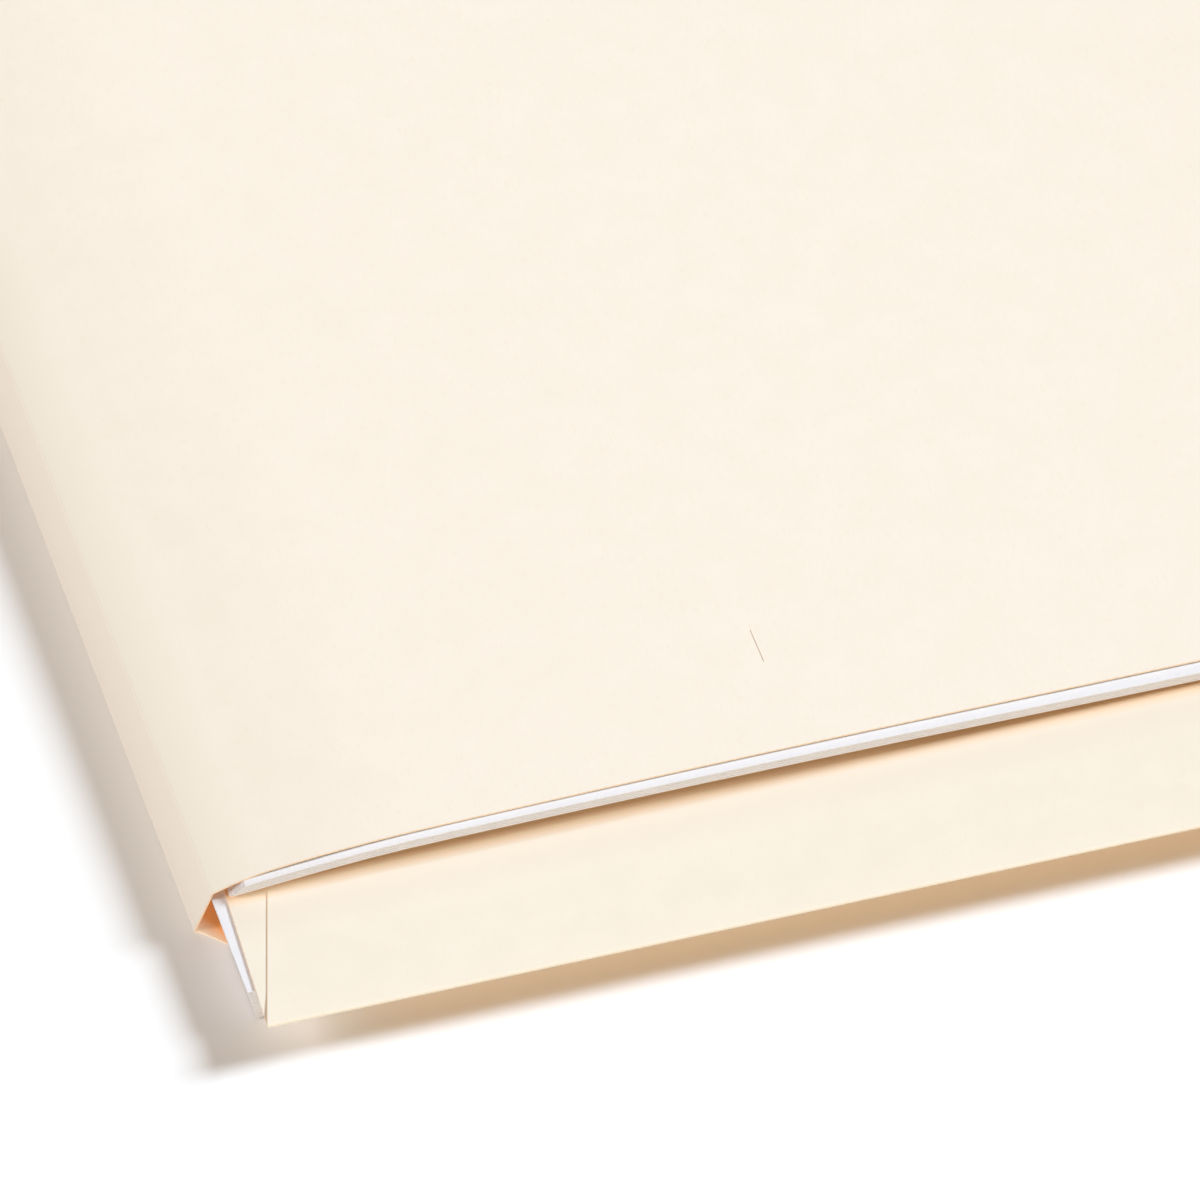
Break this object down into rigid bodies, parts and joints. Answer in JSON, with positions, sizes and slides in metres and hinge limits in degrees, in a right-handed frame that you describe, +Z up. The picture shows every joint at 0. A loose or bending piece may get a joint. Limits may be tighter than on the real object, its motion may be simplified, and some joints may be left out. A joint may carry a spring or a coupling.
{
  "type": "manila folder",
  "caption": "End-tab manila folder lying closed on its papers, with a scored spine, a front cover slit for a paper fastener and a loose divider with a folded tab.",
  "frame": {"origin": "bottom centre of the whole object's box, on the surface it lies on", "axes": "+X from the spine to the long open edge, +Y along the spine away from the tab end, +Z up"},
  "size_m": [0.2436, 0.328, 0.0096],
  "materials": {
    "manila": "smooth uncoated manila board",
    "paper": "white copy paper",
    "glue": "dried clear glue"
  },
  "bodies": {
    "back": {"back_cover": "manila"},
    "spine": {"spine_panel": "manila"},
    "cover": {"front_cover": "manila"},
    "lower_papers": {"lower_sheets_01": "paper", "lower_sheets_02": "paper", "lower_sheets_03": "paper", "lower_sheets_04": "paper", "lower_sheets_05": "paper", "lower_sheets_06": "paper", "lower_sheets_07": "paper", "lower_sheets_08": "paper", "lower_sheets_09": "paper"},
    "divider": {"divider_leaf": "manila", "tab_glue_lines": "glue"},
    "upper_papers": {"upper_sheet_01": "paper", "upper_sheet_02": "paper", "upper_sheet_03": "paper", "upper_sheet_04": "paper", "upper_sheet_05": "paper", "upper_sheet_06": "paper", "upper_sheet_07": "paper", "upper_sheet_08": "paper", "upper_sheet_09": "paper", "upper_sheet_10": "paper", "upper_sheet_11": "paper", "upper_sheet_12": "paper", "upper_sheet_13": "paper", "upper_sheet_14": "paper", "upper_sheet_15": "paper", "upper_sheet_16": "paper", "upper_sheet_17": "paper", "upper_sheet_18": "paper"}
  },
  "joints": [
    {"name": "spine_fold", "type": "hinge", "parent": "back", "child": "spine", "pos_m": [-0.12184, 0, 0], "axis": [0, -1, 0], "range_deg": [0, 90]},
    {"name": "cover_fold", "type": "hinge", "parent": "spine", "child": "cover", "pos_m": [-0.11893, 0, 0.0072], "axis": [0, -1, 0], "range_deg": [0, 88]},
    {"name": "lower_papers_slide", "type": "slide", "parent": "back", "child": "lower_papers", "axis": [0, -1, 0], "range_m": [0, 0.3]},
    {"name": "divider_slide", "type": "slide", "parent": "back", "child": "divider", "axis": [0, -1, 0], "range_m": [0, 0.31]},
    {"name": "upper_papers_slide", "type": "slide", "parent": "back", "child": "upper_papers", "axis": [0, -1, 0], "range_m": [0, 0.31]}
  ]
}
